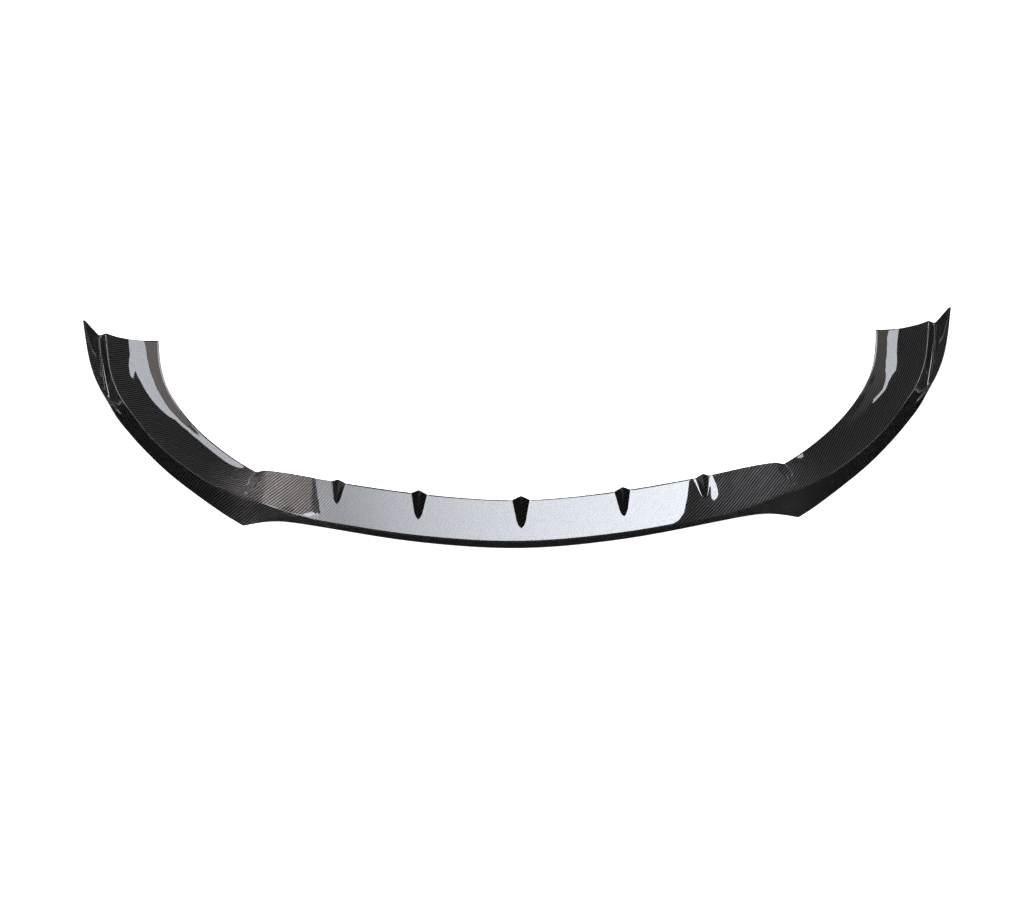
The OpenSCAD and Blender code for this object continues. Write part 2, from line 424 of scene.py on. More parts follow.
corner_radii = {"crease": 3.0, "valley": 7.0, "rim": 1.6, "foot": 1.5, "back": 0.9}
inner_radii = {"flange": 1.0, "foot": 2.0, "crease": 3.0}
print("radii of the soft corners in mm:", corner_radii)

# %% [markdown]
# The top of a ring
#
# Across the top the points crowd where a fin stands and near the crease, and they spread between.
# Each point's station follows the fin beside it, and the fin's rise is added to its height.


# %% Top of a ring
def line_u(s):
    """Station number of every line at depth s."""
    x = s / fin_reach(size)[:, None]
    beside = fin_offset(size[:, None], cross[:, None], x) / per_station(place[:, None], s)
    return place[:, None] + np.where(number[:, None] >= 0, beside, 0)


def top_with_fins(s):
    u = line_u(s)
    p = top_point(u, s)
    rise = fin_rise(size[:, None], cross[:, None], s / fin_reach(size)[:, None])
    p[..., 2] += np.where(number[:, None] >= 0, rise, 0)
    return p


reach = np.interp(place, [p for p, _ in fins], [fin_reach(s) for _, s in fins])
theta = np.linspace(0, np.pi / 2, 11)[1:]
nose_x = np.concatenate([
    [0.03], np.linspace(0.07, nose_from, 14), nose_from + (1 - nose_from) * np.sin(theta),
])
front_x = np.array([
    0.03, 0.08, 0.15, 0.23, 0.31, 0.39, 0.47, 0.55, 0.63, 0.7, 0.76, 0.82, 0.87, 0.91, 0.95, 0.98,
])
width_at = np.linalg.norm(top_point(place, 0.0) - top_point(place, 1.0), axis=-1)
round_from = 1 - corner_radii["crease"] / width_at
s_top = np.concatenate(
    [reach[:, None] * nose_x, reach[:, None] + (round_from - reach)[:, None] * front_x], axis=1
)
zero = np.zeros((len(place), 1))
top = top_with_fins(s_top)
edge_top = top_with_fins(zero)[:, 0]
print(f"{top.shape[1]} points across the top of a ring")

# %% [markdown]
# The band, the flange and the inside
#
# Below the crease the ring runs down the steep band, turns in under it as a flange, and comes back up
# inside at one wall's thickness. The wall could be made by a thickening modifier, but that tears at
# the kink. Here the inside is drawn by the same rails as the outside.

# %% Corners of the section
wall, flange_w, winglet_t = 3, 28, 5
between_lines = 0.6
u_band = line_u(zero + 1)[:, 0]
c = smooth_rail(crease, u_band)
e = broken_rail(bottom_edge, u_band)
a = broken_rail(inner_edge, u_band)
v = from_band(band_hi, valley_rail, u_band)
w = from_band(band_lo, crown_rail, u_band)
inward = unit((a - e) * [1, 1, 0])
opening = soft(u_band - start)[:, None]
top_in = mix(mix(v, w, between_lines), w + inward * winglet_t, opening)
up = np.array([0, 0, wall])
flange = e + inward * flange_w
foot_in = e + inward * wall + up
band_in = v + inward * wall * 1.1 - up * opening
s_under = zero + np.array([0.97, 0.92, 0.85, 0.77, 0.68, 0.58, 0.48, 0.38, 0.28, 0.18, 0.09, 0.03, 0])
u_under = line_u(s_under)
under = top_point(u_under, s_under) - wall * top_normal(u_under, s_under)
last_top = top_point(u_band, round_from)
print(f"in the middle the section goes from {c[0].round(1)} down to {e[0].round(1)}")

# %% [markdown]
# One closed ring
#
# The corners are rounded and joined in order: the back edge, the top, the band and the inside.

# %% Ring
band = joined(
    [
        arc(last_top, c, v, corner_radii["crease"], 9),
        arc(c, v, top_in, corner_radii["valley"], 7),
        arc(v, top_in, w, corner_radii["rim"], 5),
        arc(top_in, w, e, corner_radii["rim"], 6),
        arc(w, e, flange, corner_radii["foot"], 6),
    ],
    [5, 3, 1, 9],
)
back_edge = arc(under[:, -1], edge_top, top[:, 0], corner_radii["back"], 6)
outer = np.concatenate([back_edge, top[:, 1:], band], axis=1)
inner = joined(
    [
        arc(e, flange, flange + up, inner_radii["flange"], 3),
        arc(flange, flange + up, foot_in, inner_radii["flange"], 3),
        arc(flange + up, foot_in, band_in, inner_radii["foot"], 4),
        arc(foot_in, band_in, under[:, 0], inner_radii["crease"], 4),
        under,
    ],
    [1, 3, 2, 0],
)
ring = np.concatenate([outer, inner], axis=1)
print(f"a ring has {outer.shape[1]} points outside and {inner.shape[1]} inside")

# %% [markdown]
# The corner at the kink
#
# At station 5 the raised centre ends in a crisp ridge, and the bottom edge turns at a point.
# The same short arc is drawn once more, this time from line to line instead of round the ring.

# %% Kink
at = {
    name: int(np.argmin(np.abs(place - u)))
    for name, u in (("before", kink - before_kink), ("corner", kink), ("after", kink + after_kink))
}
t = np.linspace(0, 1, kink_steps + 1)[:, None, None]
p, q, r = (ring[at[k]] for k in ("before", "corner", "after"))
bend = (1 - t) ** 2 * p + 2 * t * (1 - t) * q + t**2 * r
ring = np.concatenate([ring[: at["before"]], bend, ring[at["after"] + 1:]])
print(f"{len(bend)} rings turn the corner at the kink")

# %% [markdown]
# The whole shell
#
# The right half is mirrored, and the ring in the middle closes the two halves. The drawing starts
# at the front edge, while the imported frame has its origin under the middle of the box, so the
# mesh moves forward by half the depth. At the cut ends the wall is closed by a strip whose rim
# is drawn in by half a millimetre, as a sanded edge is.

# %% Shell
rim_inset = 0.5
n_outer = outer.shape[1]
n_ring = ring.shape[1]
facing = n_ring - 1 - np.round(np.arange(n_outer) * (n_ring - 1 - n_outer) / (n_outer - 1)).astype(int)
end = ring[-1]
to_wall = end[facing] - end[:n_outer]
end[:n_outer] += unit(to_wall) * rim_inset
points = np.concatenate([ring[:0:-1] * flip, ring])
points[..., 1] -= depth / 2
lines = len(points)
print(f"{lines} rings of {n_ring} points")

# %% [markdown]
# The cloth on the shell
#
# The weave is what tells carbon from black paint, so it has to run as the real cloth runs: straight
# over the centre, turned and slightly sheared on the wings. A projection from above would smear
# on the steep band. So the shell is unfolded instead: each point is measured along and across
# the crease, in widths of one tow, and that becomes its place on the cloth, kept in a UV map.

# %% Cloth
tow = 1.7
weft_turn = np.radians(24.5)
warp_turn = np.radians(12.5)
turn_from, turn_over = 3.2, 3.4


def on_cloth(u, along, across):
    """Cloth coordinates of steps along and across the crease at station u."""
    turn = soft((u - turn_from) / turn_over)
    ahead = smooth_rail(crease, u + 0.02) - smooth_rail(crease, np.maximum(u - 0.02, 0))
    heading = np.arctan2(ahead[..., 1], ahead[..., 0])
    x = along * np.cos(heading) - across * np.sin(heading)
    y = along * np.sin(heading) + across * np.cos(heading)
    e1 = turn * weft_turn
    e2 = np.pi / 2 + turn * warp_turn
    det = np.cos(e1) * np.sin(e2) - np.sin(e1) * np.cos(e2)
    woven = np.stack([x * np.sin(e2) - y * np.cos(e2), y * np.cos(e1) - x * np.sin(e1)], -1)
    return woven / det[..., None] / tow


middle_of_step = (fine[1:] + fine[:-1]) / 2
length_of_step = np.linalg.norm(steps, axis=1)
laid = np.cumsum(on_cloth(middle_of_step, length_of_step, 0 * length_of_step), axis=0)
laid = np.vstack([[0, 0], laid])
print(f"along the crease the cloth turns by up to {np.degrees(weft_turn):.1f} degrees")

# %% [markdown]
# The cloth on every line
#
# On the top a point's place is measured from the crease beside it. On the band the cloth runs on over
# the crease without a break, so the steps down the band are added up from there. The ring's hidden
# part takes its places straight from above, since nobody sees it bend.


# %% Cloth on every line
def cloth_at(u, offset):
    """Place on the cloth of a point that lies at an offset from the crease at station u."""
    ahead = unit(smooth_rail(crease, u + 0.02) - smooth_rail(crease, np.maximum(u - 0.02, 0)))
    along = (offset * ahead).sum(-1)
    across = np.linalg.norm(offset - along[..., None] * ahead, axis=-1)
    start_at = np.stack([np.interp(u, fine, laid[:, k]) for k in (0, 1)], -1)
    return start_at + on_cloth(u, along, across)


depth_along = np.concatenate([zero + 0.002 * np.arange(1, 7), s_top[:, 1:]], axis=1)
u_top = line_u(depth_along)
cloth_top = cloth_at(u_top, top_point(u_top, depth_along) - smooth_rail(crease, u_top))
n_top = cloth_top.shape[1]
below = outer[:, n_top:]
from_crease = np.concatenate([last_top[:, None], below], axis=1) - c[:, None]
ahead = unit(smooth_rail(crease, u_band + 0.02) - smooth_rail(crease, np.maximum(u_band - 0.02, 0)))[:, None]
walk = np.diff(from_crease, axis=1)
along = (walk * ahead).sum(-1)
across = -np.linalg.norm(walk - along[..., None] * ahead, axis=-1)
start_along = (from_crease[:, :1] * ahead).sum(-1)
start_across = np.linalg.norm(from_crease[:, :1] - start_along[..., None] * ahead, axis=-1)
crease_at = np.stack([np.interp(u_band, fine, laid[:, k]) for k in (0, 1)], -1)
cloth_below = crease_at[:, None] + on_cloth(
    u_band[:, None] + 0 * along,
    start_along + np.cumsum(along, axis=1),
    start_across + np.cumsum(across, axis=1),
)
cloth_inner = (inner - np.array([0, depth / 2, 0]))[..., :2] / tow
cloth = np.concatenate([cloth_top, cloth_below, cloth_inner], axis=1)
bend_cloth = mix(cloth[at["before"]], cloth[at["after"]], np.linspace(0, 1, kink_steps + 1)[:, None, None])
cloth = np.concatenate([cloth[: at["before"]], bend_cloth, cloth[at["after"] + 1:]])
cloth = np.concatenate([cloth[:0:-1] * [-1, 1], cloth])
print(f"the cloth spans {np.ptp(cloth[..., 0]) * tow:.0f} mm across the part")

# %% [markdown]
# The mesh
#
# Rings and lines make a grid, so the faces follow from the row and column numbers alone. The
# faces are smooth shaded: every edge that should look sharp already has its own small radius.

# %% Mesh
row = np.arange(lines - 1)[:, None] * n_ring
col = np.arange(n_ring)[None, :]
nxt = (col + 1) % n_ring
skin = np.stack([row + col, row + n_ring + col, row + n_ring + nxt, row + nxt], -1).reshape(-1, 4)
caps = []
for first, turned in ((0, False), ((lines - 1) * n_ring, True)):
    for k in range(n_outer - 1):
        corners = [k, k + 1, facing[k + 1], facing[k]]
        corners = [first + n for i, n in enumerate(corners) if n not in corners[:i]]
        caps.append(corners[::-1] if turned else corners)
mesh = bpy.data.meshes.new("splitter_lip_shell")
mesh.from_pydata((points.reshape(-1, 3) * MM).tolist(), [], skin.tolist() + caps)
mesh.polygons.foreach_set("use_smooth", [True] * len(mesh.polygons))
print(f"{len(skin)} faces on the skin and {len(caps)} on the cut ends")

# %% [markdown]
# Which face has which finish
#
# The shell is polished outside and bare inside, so the hidden faces get a finish of their own. So do
# the roofs of the fins, which get painted shade, a darker cloth with hardly any lacquer, so they stay
# dark where the ramp round them mirrors a bright lamp. The split could be painted with a mask, but the
# grid already knows which faces lie where.

# %% Finishes
lacquer, hidden_side, painted_dark_roof = 0, 1, 2
painted_dark_edge = 1.04
painted_dark_rows = 28
finish_of = np.where(np.broadcast_to(col >= n_outer, (lines - 1, n_ring)), hidden_side, lacquer)
middle = len(ring) - 1
# The faces over the fins get the finish with painted shade, darker than the rest of the lacquered cloth.
for k in range(len(place) - 1):
    same_fin = number[k] >= 0 and number[k] == number[k + 1]
    if same_fin and max(abs(cross[k]), abs(cross[k + 1])) <= painted_dark_edge:
        finish_of[[middle + k, middle - k - 1], :painted_dark_rows] = painted_dark_roof
finishes = np.concatenate([finish_of.reshape(-1), [lacquer] * len(caps)]).astype(int)
mesh.polygons.foreach_set("material_index", finishes)
print("faces by finish:", np.bincount(finishes).tolist())

# %% [markdown]
# The shell as an object
#
# The places on the cloth go into the UV map, which the weave reads later. Then the shell takes the
# place of the plain solid and rides on the same body.

# %% Shell object
corner_of = np.zeros(len(mesh.loops), int)
mesh.loops.foreach_get("vertex_index", corner_of)
layer = mesh.uv_layers.new(name="cloth")
layer.uv.foreach_set("vector", cloth.reshape(-1, 2)[corner_of].ravel().astype(np.float32))
mesh.validate()
mesh.update()
shell = bpy.data.objects.new("splitter_lip_shell", mesh)
bpy.context.scene.collection.objects.link(shell)
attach(shell, "root")
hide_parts("splitter_lip")
print(f"{shell.name} has {len(mesh.vertices)} points")

# %% [markdown]
# Is it closed
#
# A shell with a gap or with faces turned inward looks right from one side only. So the edges that
# don't join two faces are counted, and the sign of the volume tells which way the faces look.

# %% Closed
check = bmesh.new()
check.from_mesh(mesh)
inside_out = check.calc_volume(signed=True) < 0
if inside_out:
    bmesh.ops.reverse_faces(check, faces=check.faces)
    check.to_mesh(mesh)
open_edges = sum(not edge.is_manifold for edge in check.edges)
volume = check.calc_volume() * 1e6
check.free()
print(f"{len(mesh.polygons)} faces, {open_edges} open edges, {volume:.0f} cm3, turned round: {inside_out}")

# %% [markdown]
# Helpers for materials
#
# A material is a small graph of nodes. Drawn by hand each is quickly done, but a script that repeats
# the same five lines for every node can't be read, so the common moves get short names here.


# %% Helpers for materials
def bare_material(name):
    """A material with nothing but its output."""
    made = bpy.data.materials.new(name)
    made.use_nodes = True
    tree = made.node_tree
    tree.nodes.clear()
    return made, tree, tree.nodes.new("ShaderNodeOutputMaterial").inputs[0]


def new_material(name):
    made, tree, surface = bare_material(name)
    shader = tree.nodes.new("ShaderNodeBsdfPrincipled")
    tree.links.new(shader.outputs[0], surface)
    return made, tree, shader


def put(tree, value, socket):
    if isinstance(value, bpy.types.NodeSocket):
        tree.links.new(value, socket)
    else:
        socket.default_value = value


def math(tree, operation, *values):
    node = tree.nodes.new("ShaderNodeMath")
    node.operation = operation
    for value, socket in zip(values, node.inputs):
        put(tree, value, socket)
    return node.outputs[0]


def blend_of(tree, share, low_end, high_end):
    """low_end where share is 0 and high_end where it is 1."""
    return math(tree, "MULTIPLY_ADD", share, high_end - low_end, low_end)


def ramp_of(tree, value, ends, results, smooth=False):
    """The first result below the first end, the second above the second, and a slope between."""
    node = tree.nodes.new("ShaderNodeMapRange")
    if smooth:
        node.interpolation_type = "SMOOTHSTEP"
    for socket, setting in zip(node.inputs[1:5], (*ends, *results)):
        socket.default_value = setting
    tree.links.new(value, node.inputs[0])
    return node.outputs[0]


def split_of(tree, vector):
    node = tree.nodes.new("ShaderNodeSeparateXYZ")
    tree.links.new(vector, node.inputs[0])
    return node.outputs


def mixed_colour(tree, share, dark, light):
    node = tree.nodes.new("ShaderNodeMix")
    node.data_type = "RGBA"
    node.inputs[6].default_value = (*dark, 1)
    node.inputs[7].default_value = (*light, 1)
    put(tree, share, node.inputs[0])
    return node.outputs[2]


print("materials so far:", len(bpy.data.materials))

# %% [markdown]
# The weave
#
# A 2x2 twill: every tow passes over two and under two, one step further on in each row, which draws
# diagonal ribs. It could be a picture of cloth, but a picture blurs close up. The places on the
# cloth say which tow is on top and how far across that tow a point lies, at any distance.


# %% Weave
def twill(tree):
    """The cloth's map, the place on it, 1 where the warp is on top, and the place across the top tow."""
    uv = tree.nodes.new("ShaderNodeUVMap")
    uv.uv_map = "cloth"
    x, y = split_of(tree, uv.outputs[0])[:2]
    cell_x = math(tree, "FLOOR", x)
    cell_y = math(tree, "FLOOR", y)
    step = math(tree, "FLOORED_MODULO", math(tree, "SUBTRACT", cell_x, cell_y), 4)
    warp_up = math(tree, "LESS_THAN", step, 1.5)
    weft_up = math(tree, "SUBTRACT", 1, warp_up)
    across_warp = math(tree, "MULTIPLY", math(tree, "FRACT", x), warp_up)
    across_weft = math(tree, "MULTIPLY", math(tree, "FRACT", y), weft_up)
    return uv.outputs[0], x, y, warp_up, math(tree, "ADD", across_warp, across_weft)


print(f"a tow is {tow} mm wide, so the ribs repeat every {4 * tow:.1f} mm along it")

# %% [markdown]
# Cloth under lacquer
#
# Fibres that run across the light shine and those that run along it stay dark. That sheen is painted
# into the colour: warp and weft get two tones of grey. Each tow is rounded, and its middle is painted
# lighter, a painted highlight; fine streaks run along it. Over the cloth lies a smooth clear coat with
# its own sharp reflection. The cloth itself has no gloss, because a second, blurred reflection under the
# sharp one only adds grain. The coat can be thinned for a duller finish.

# %% Cloth under lacquer
fibre_low, fibre_high = 0.25, 9.0
deep_black = (0.0015, 0.0015, 0.0018)


def fibre_streaks(tree, x, y, warp_up):
    """Noise that is long along the top tow and fine across it."""
    noise = tree.nodes.new("ShaderNodeTexNoise")
    noise.inputs["Scale"].default_value = 1.0
    noise.inputs["Detail"].default_value = 3.0
    along_tow = tree.nodes.new("ShaderNodeCombineXYZ")
    put(tree, math(tree, "MULTIPLY", x, blend_of(tree, warp_up, fibre_low, fibre_high)), along_tow.inputs[0])
    put(tree, math(tree, "MULTIPLY", y, blend_of(tree, warp_up, fibre_high, fibre_low)), along_tow.inputs[1])
    tree.links.new(along_tow.outputs[0], noise.inputs["Vector"])
    return noise.outputs[0]


def cloth_under_lacquer(name, bright, coat):
    """bright is the colour of a lit fibre, coat the share of the surface that the lacquer covers."""
    made, tree, shader = new_material(name)
    _, x, y, warp_up, across = twill(tree)
    off_centre = math(tree, "ABSOLUTE", math(tree, "SUBTRACT", across, 0.5))
    # The crown rounds each tow's bump, and in the colour it is a painted highlight along the tow's middle.
    crown_and_sheen = math(tree, "SUBTRACT", 1, math(tree, "MULTIPLY", math(tree, "POWER", off_centre, 2), 4))
    fibres = fibre_streaks(tree, x, y, warp_up)
    sheen_and_grain = math(tree, "MULTIPLY", crown_and_sheen, blend_of(tree, fibres, 0.7, 1.3))
    # Painted sheen: the warp on top is painted much lighter than the weft, as if its fibres shine in the
    # light.
    share = math(tree, "MULTIPLY", sheen_and_grain, blend_of(tree, warp_up, 0.02, 0.85))
    colour = mixed_colour(tree, share, deep_black, (bright, bright, bright * 1.04))
    tree.links.new(colour, shader.inputs["Base Color"])
    put(tree, blend_of(tree, fibres, 0.38, 0.52), shader.inputs["Roughness"])
    shader.inputs["Specular IOR Level"].default_value = 0.0
    shader.inputs["Coat Weight"].default_value = coat
    shader.inputs["Coat Roughness"].default_value = 0.02
    shader.inputs["Coat IOR"].default_value = 1.5
    bump = tree.nodes.new("ShaderNodeBump")
    bump.inputs["Strength"].default_value = 0.5
    bump.inputs["Distance"].default_value = 0.0002
    put(tree, math(tree, "ADD", crown_and_sheen, math(tree, "MULTIPLY", fibres, 0.3)), bump.inputs["Height"])
    tree.links.new(bump.outputs[0], shader.inputs["Normal"])
    return made


mesh.materials.append(cloth_under_lacquer("lacquered_carbon", bright=0.05, coat=1.0))
print("the lacquered cloth has", len(mesh.materials[lacquer].node_tree.nodes), "nodes")

# %% [markdown]
# The hidden side
#
# Inside the mould only the outer face is polished. The back shows the same cloth, matt and a
# little uneven under thin resin, so it has its own material on the faces of the hidden side.

# %% Hidden side
back, tree, shader = new_material("bare_laminate")
on_back, _, _, warp_up, _ = twill(tree)
patches = tree.nodes.new("ShaderNodeTexNoise")
patches.inputs["Scale"].default_value = 0.02
tree.links.new(on_back, patches.inputs["Vector"])
woven = blend_of(tree, warp_up, 0.2, 0.8)
colour = mixed_colour(tree, woven, (0.016, 0.016, 0.017), (0.05, 0.05, 0.052))
tree.links.new(colour, shader.inputs["Base Color"])
put(tree, blend_of(tree, patches.outputs[0], 0.45, 0.7), shader.inputs["Roughness"])
mesh.materials.append(back)
print("the hidden side has", len(tree.nodes), "nodes")

# %% [markdown]
# The fins' roofs
#
# In the photograph the fins stay black inside the white reflection of the long lamp. With the full
# lacquer their roofs would mirror that lamp and vanish in it. A dark flag over each fin would help,
# but its own reflection would show beside the fin. So the roofs get painted shade: the same cloth,
# painted darker, with hardly any lacquer over it.

# %% Fins' roofs
# Painted shade: the fins' roofs are painted darker and nearly unlacquered, so they mirror no lamp.
mesh.materials.append(cloth_under_lacquer("teeth_painted_dark", bright=0.022, coat=0.05))
print("materials:", [m.name for m in mesh.materials])

# %% [markdown]
# Camera
#
# The camera looks down at 55 degrees from a little over three metres, as the photographer's did.
# It is placed by its target and its turn, so both can be read off and changed one at a time.

# %% Camera
elevation, yaw, roll = np.radians([55.0, 0.28, -0.65])
distance = 3.2937
target = np.array([-0.01453, -0.04032, 0.02906])
forward = np.array([np.sin(yaw) * np.cos(elevation), np.cos(yaw) * np.cos(elevation), -np.sin(elevation)])
level = np.array([np.cos(yaw), -np.sin(yaw), 0])
rise = np.cross(level, forward)
right = np.cos(roll) * level + np.sin(roll) * rise
upward = np.cos(roll) * rise - np.sin(roll) * level
half_pixel = 0.001
position = target - forward * distance - right * half_pixel + upward * half_pixel
camera = bpy.data.objects.new("camera", bpy.data.cameras.new("camera"))
camera.data.lens = 57.74
camera.data.sensor_width = 36
turned = Matrix(np.stack([right, upward, -forward], axis=1).tolist()).to_4x4()
camera.matrix_world = Matrix.Translation(Vector(position)) @ turned
bpy.context.scene.collection.objects.link(camera)
bpy.context.scene.camera = camera
print("camera at", [round(float(x), 3) for x in position])

# %% [markdown]
# Floor
#
# The part lies on white paper that runs out of the picture on every side. Paper that is only lit
# turns grey where the lamps fall off, and more light would wash out the part. So a share of the
# paper's white is its own, and it grows with the distance until the paper is white by itself. The
# rest is lit, so the paper still takes the part's shadow. The gloss sees it as the camera does.

# %% Floor
floor_reach = 14.0
near, far = 1.2, 3.0


def flat_piece(name, corners, faces, finish):
    """A flat thing of the studio, which isn't part of the object."""
    flat = bpy.data.meshes.new(name)
    flat.from_pydata(corners, [], faces)
    flat.materials.append(finish)
    made = bpy.data.objects.new(name, flat)
    bpy.context.scene.collection.objects.link(made)
    return made


paper, tree, surface = bare_material("white_paper")
matt = tree.nodes.new("ShaderNodeBsdfDiffuse")
matt.inputs[0].default_value = (0.8, 0.8, 0.8, 1)
glow = tree.nodes.new("ShaderNodeEmission")
glow.inputs[0].default_value = (1, 1, 1, 1)
path = tree.nodes.new("ShaderNodeLightPath")
in_gloss_or_glass = math(tree, "MAXIMUM", path.outputs["Is Glossy Ray"], path.outputs["Is Transmission Ray"])
seen = math(tree, "MAXIMUM", path.outputs["Is Camera Ray"], in_gloss_or_glass)
spot = tree.nodes.new("ShaderNodeNewGeometry")
away = tree.nodes.new("ShaderNodeVectorMath")
away.operation = "LENGTH"
tree.links.new(spot.outputs["Position"], away.inputs[0])
own_white = ramp_of(tree, away.outputs["Value"], (near, far), (0.82, 1.0))
put(tree, math(tree, "MULTIPLY", seen, own_white), glow.inputs[1])
added = tree.nodes.new("ShaderNodeAddShader")
tree.links.new(matt.outputs[0], added.inputs[0])
tree.links.new(glow.outputs[0], added.inputs[1])
tree.links.new(added.outputs[0], surface)
square = [(x * floor_reach, y * floor_reach, 0) for x, y in ((-1, -1), (1, -1), (1, 1), (-1, 1))]
floor = flat_piece("floor", square, [(0, 1, 2, 3)], paper)
floor.location.z = -0.0005
print(f"the paper is {2 * floor_reach:.0f} m wide")

# %% [markdown]
# The black card
#
# The steep band and the winglets look down at the paper round the part, and a bright paper there
# would turn black carbon grey. A product photographer lays black card under such a part and cuts it
# out of the picture later. Here the card is left out of the camera's rays, and it fades at its rim,
# so that no hard line shows in the lacquer.

# %% Card
card_reach = 2.6
card_y, card_z = 0.2, -0.0002
rim_count = 64


def for_gloss_alone(thing):
    thing.visible_camera = False
    thing.visible_diffuse = False
    thing.visible_shadow = False


black, tree, shader = new_material("black_card")
shader.inputs["Base Color"].default_value = (0.01, 0.01, 0.01, 1)
shader.inputs["Specular IOR Level"].default_value = 0.0
where = tree.nodes.new("ShaderNodeUVMap")
where.uv_map = "outward"
outward = split_of(tree, where.outputs[0])[1]
tree.links.new(ramp_of(tree, outward, (0.7, 1.0), (1.0, 0.0), smooth=True), shader.inputs["Alpha"])
around = np.linspace(0, 2 * np.pi, rim_count + 1)[:-1]
rim = np.stack([card_reach * np.cos(around), card_y + card_reach * np.sin(around), 0 * around + card_z], -1)
fan = [(0, k + 1, (k + 1) % rim_count + 1) for k in range(rim_count)]
card = flat_piece("black_card", [(0.0, card_y, card_z)] + rim.tolist(), fan, black)
for_gloss_alone(card)
to_rim = card.data.uv_layers.new(name="outward")
for loop in card.data.loops:
    to_rim.uv[loop.index].vector = (0, min(loop.vertex_index, 1))
print(f"the card reaches {card_reach} m from the middle of the part")

# %% [markdown]
# Glowing faces
#
# A polished dark part is lit by what it mirrors, not by the light that falls on it. Large lamps
# far away would do, but the part's own curves fold a far lamp's reflection over itself. So each
# soft box is a flat face, cut to the outline that its reflection should have, and it hangs only a
# hand's width or two above the part. The faces are seen in the gloss alone.


# %% Glowing faces
def soft_face(name, height, outline, colour, bright, dim=None, growth=1.0):
    """A glowing face over the part; its light is even, or grows from dim to bright along X."""
    finish, tree, surface = bare_material(name)
    glow = tree.nodes.new("ShaderNodeEmission")
    glow.inputs[0].default_value = (*colour, 1)
    where = tree.nodes.new("ShaderNodeNewGeometry")
    x = split_of(tree, where.outputs["Position"])[0]
    ends = [x_at for x_at, _ in outline]
    share = math(tree, "POWER", ramp_of(tree, x, (min(ends), max(ends)), (0.0, 1.0)), growth)
    put(tree, blend_of(tree, share, bright if dim is None else dim, bright), glow.inputs[1])
    tree.links.new(glow.outputs[0], surface)
    corners = [(x_at, y_at, height) for x_at, y_at in outline]
    lamp = flat_piece(name, corners, [tuple(range(len(outline)))], finish)
    for_gloss_alone(lamp)
    return lamp


cool, warm, grey = (0.94, 0.975, 1.05), (1.1, 0.985, 0.94), (1, 1, 1)
print("cool, warm and grey light:", cool, warm, grey)

# %% [markdown]
# Over the centre
#
# A long box hangs over the ramp, and its light grows to the right as in the photograph. Lower things
# stand before it and cut pieces out of its reflection, as flags and tape do in a studio: a dim
# warm card at its left end with a black tape along the card's edge, and a dark flag before its right
# end. A thin strip lights the crease, and a small drop makes the one highlight beside the last fin.

# %% Over the centre
soft_face("centre_box", 0.25, [
    (-0.5, -0.34), (-0.5, -0.1), (-0.43, -0.1), (-0.39, -0.235), (-0.28, -0.25), (-0.2, -0.258),
    (0.0, -0.268), (0.2, -0.258), (0.28, -0.25), (0.395, -0.236), (0.396, -0.29), (0.395, -0.325),
    (0.388, -0.342), (0.372, -0.354), (0.3, -0.365), (0.1, -0.388), (-0.1, -0.392), (-0.3, -0.37),
], cool, bright=22.3, dim=0.0, growth=0.44)
soft_face("centre_card", 0.15, [
    (-0.51, 0.0), (-0.51, -0.18), (-0.445, -0.2), (-0.43, -0.222), (-0.4205, -0.233), (-0.4165, -0.243),
    (-0.414, -0.2475), (-0.4165, -0.235), (-0.4195, -0.217), (-0.4235, -0.19), (-0.428, -0.172),
    (-0.435, -0.12), (-0.44, 0.0),
], warm, bright=2.0)
soft_face("centre_tape", 0.148, [
    (-0.44, -0.1), (-0.4295, -0.17), (-0.4255, -0.19), (-0.4215, -0.215), (-0.4175, -0.236),
    (-0.4145, -0.248), (-0.412, -0.248), (-0.4143, -0.236), (-0.4168, -0.215), (-0.4205, -0.19),
    (-0.4248, -0.17), (-0.435, -0.1),
], grey, bright=0.0)
soft_face("crease_line", 0.15, [
    (-0.51, -0.18), (-0.445, -0.2), (-0.43, -0.222), (-0.4205, -0.233), (-0.4165, -0.243),
    (-0.414, -0.2475), (-0.4135, -0.253), (-0.4185, -0.245), (-0.428, -0.23), (-0.447, -0.207),
    (-0.51, -0.188),
], cool, bright=14.0)
soft_face("right_drop", 0.11, [
    (0.385, -0.145), (0.3895, -0.15), (0.3925, -0.158), (0.3955, -0.166), (0.399, -0.174), (0.401, -0.183),
    (0.4025, -0.192), (0.4025, -0.2), (0.4, -0.208), (0.3965, -0.213), (0.393, -0.209), (0.391, -0.199),
    (0.3905, -0.185), (0.3885, -0.176), (0.385, -0.165),
], cool, bright=20.0)
soft_face("right_flag", 0.15, [
    (0.405, -0.26), (0.47, -0.26), (0.47, -0.205), (0.405, -0.205),
], grey, bright=0.1)
print("six faces hang over the centre")

# %% [markdown]
# Over the wings
#
# Each wing mirrors a bent box and, beside it, a dim warm card. The two sides of the photograph
# differ, so the right box ends sooner, and a small spot of light shows near the right corner.

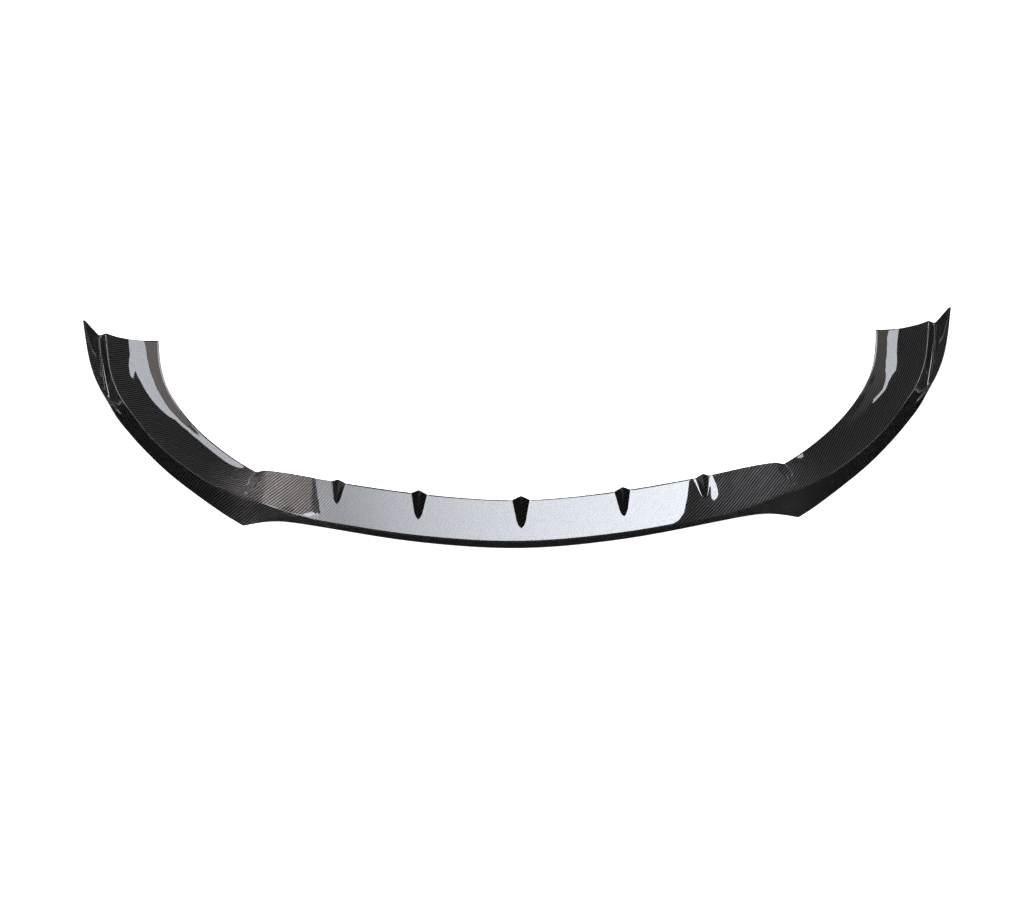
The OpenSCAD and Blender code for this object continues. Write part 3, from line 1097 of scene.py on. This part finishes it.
# %% Over the wings
wing_lamp_z = 0.3
soft_face("left_box", wing_lamp_z, [
    (-0.742, 0.5), (-0.742, 0.44), (-0.722, 0.425), (-0.735, 0.41), (-0.757, 0.403), (-0.763, 0.38),
    (-0.76, 0.35), (-0.752, 0.32), (-0.745, 0.285), (-0.74, 0.25), (-0.718, 0.215), (-0.694, 0.187),
    (-0.67, 0.165), (-0.655, 0.152), (-0.64, 0.14), (-0.626, 0.134), (-0.618, 0.13), (-0.618, 0.122),
    (-0.652, 0.126), (-0.69, 0.165), (-0.698, 0.185), (-0.722, 0.213), (-0.748, 0.25), (-0.762, 0.275),
    (-0.784, 0.312), (-0.8, 0.35), (-0.809, 0.39), (-0.813, 0.43), (-0.813, 0.5),
], cool, bright=9.5)
soft_face("left_card", wing_lamp_z, [
    (-0.814, 0.5), (-0.814, 0.43), (-0.81, 0.39), (-0.801, 0.35), (-0.785, 0.312), (-0.763, 0.275),
    (-0.749, 0.25), (-0.723, 0.213), (-0.699, 0.185), (-0.691, 0.165), (-0.71, 0.182), (-0.735, 0.21),
    (-0.76, 0.245), (-0.78, 0.275), (-0.8, 0.31), (-0.816, 0.35), (-0.828, 0.4), (-0.838, 0.45),
    (-0.842, 0.5),
], warm, bright=2.0)
soft_face("right_box", wing_lamp_z, [
    (0.785, 0.48), (0.787, 0.42), (0.783, 0.4), (0.765, 0.378), (0.77, 0.362), (0.768, 0.348), (0.757, 0.338),
    (0.747, 0.285), (0.757, 0.29), (0.765, 0.325), (0.78, 0.338), (0.797, 0.35), (0.808, 0.37), (0.816, 0.4),
    (0.821, 0.43), (0.821, 0.48),
], cool, bright=10.0)
soft_face("right_card", wing_lamp_z, [
    (0.822, 0.5), (0.822, 0.43), (0.817, 0.4), (0.809, 0.37), (0.798, 0.35), (0.781, 0.337), (0.766, 0.322),
    (0.757, 0.29), (0.735, 0.25), (0.7, 0.2), (0.72, 0.205), (0.755, 0.25), (0.78, 0.285), (0.8, 0.325),
    (0.816, 0.36), (0.828, 0.41), (0.836, 0.45), (0.842, 0.5),
], warm, bright=1.0, dim=0.1)
soft_face("right_spot", wing_lamp_z, [
    (0.62, 0.12), (0.628, 0.12), (0.628, 0.1285), (0.62, 0.1285),
], cool, bright=10.0)
print("five faces hang over the wings")

# %% [markdown]
# Lamps for the cloth
#
# The cloth under the lacquer is matt, so it needs light that falls on it: a wide lamp overhead, and
# low ones in front and behind for the steep band. Two narrow lamps aim at the ends of the ramp, where
# the photograph shows the weave most clearly. None of these is mirrored in the lacquer. The two
# strips far out at the sides are the other way round: they only draw fine lines in the gloss.


# %% Lamps for the cloth
def soft_lamp(name, centre, toward, width, length, radiance, colour=(1, 1, 1), spread=180):
    """A rectangular lamp for the cloth; its power follows from how bright its face is."""
    data = bpy.data.lights.new(name, "AREA")
    data.shape = "RECTANGLE"
    data.size, data.size_y = width, length
    data.energy = radiance * np.pi * width * length
    data.spread = np.radians(spread)
    data.color = colour
    lamp = bpy.data.objects.new(name, data)
    lamp.location = centre
    lamp.rotation_euler = (Vector(toward) - Vector(centre)).to_track_quat("-Z", "Y").to_euler()
    lamp.visible_camera = False
    lamp.visible_glossy = False
    bpy.context.scene.collection.objects.link(lamp)
    return lamp


soft_lamp("fill", (0.0, 0.2, 4.5), (0, 0, 0), width=4.0, length=4.0, radiance=4.2)
soft_lamp("front", (0.0, -4.0, 1.0), (0, -0.2, 0), width=3.0, length=0.8, radiance=5.0)
soft_lamp("rear", (0.0, 3.6, 1.0), (0, 0.1, 0), width=3.0, length=1.0, radiance=7.0)
for name, x, toward_x, radiance, colour in (
    ("left_glow", -0.46, -0.475, 13.5, warm),
    ("right_glow", 0.46, 0.45, 6.5, grey),
):
    soft_lamp(name, (x, -0.12, 0.35), (toward_x, -0.165, 0.05), 0.12, 0.12, radiance, colour, spread=46)
for name, side in (("left_strip", -1), ("right_strip", 1)):
    centre, toward = (side * 2.4, 0.3, 1.4), (side * 0.7, 0.1, 0)
    strip = soft_lamp(name, centre, toward, width=3.0, length=0.5, radiance=12.0)
    strip.visible_glossy = True
    strip.visible_diffuse = False

# %% [markdown]
# Surroundings
#
# To the camera the room is as pale as the paper, so the part stands before white from every side.
# The lacquer sees that white only low down, round the paper. Higher up it sees a dim room, because
# a bright ceiling would lay a grey veil over the whole part.

# %% Surroundings
skyline, dim_room = 0.04, 0.1
world = bpy.data.worlds.new("studio")
world.use_nodes = True
tree = world.node_tree
direction = tree.nodes.new("ShaderNodeTexCoord")
height = split_of(tree, direction.outputs["Generated"])[2]
fade = ramp_of(tree, height, (0.0, skyline), (1.0, dim_room), smooth=True)
path = tree.nodes.new("ShaderNodeLightPath")
backdrop = tree.nodes["Background"]
put(tree, math(tree, "MAXIMUM", path.outputs["Is Camera Ray"], fade), backdrop.inputs[1])
backdrop.inputs[0].default_value = (1, 1, 1, 1)
bpy.context.scene.world = world
bpy.context.scene.view_settings.view_transform = "Standard"
print(f"the room's strength above the paper is {dim_room}")
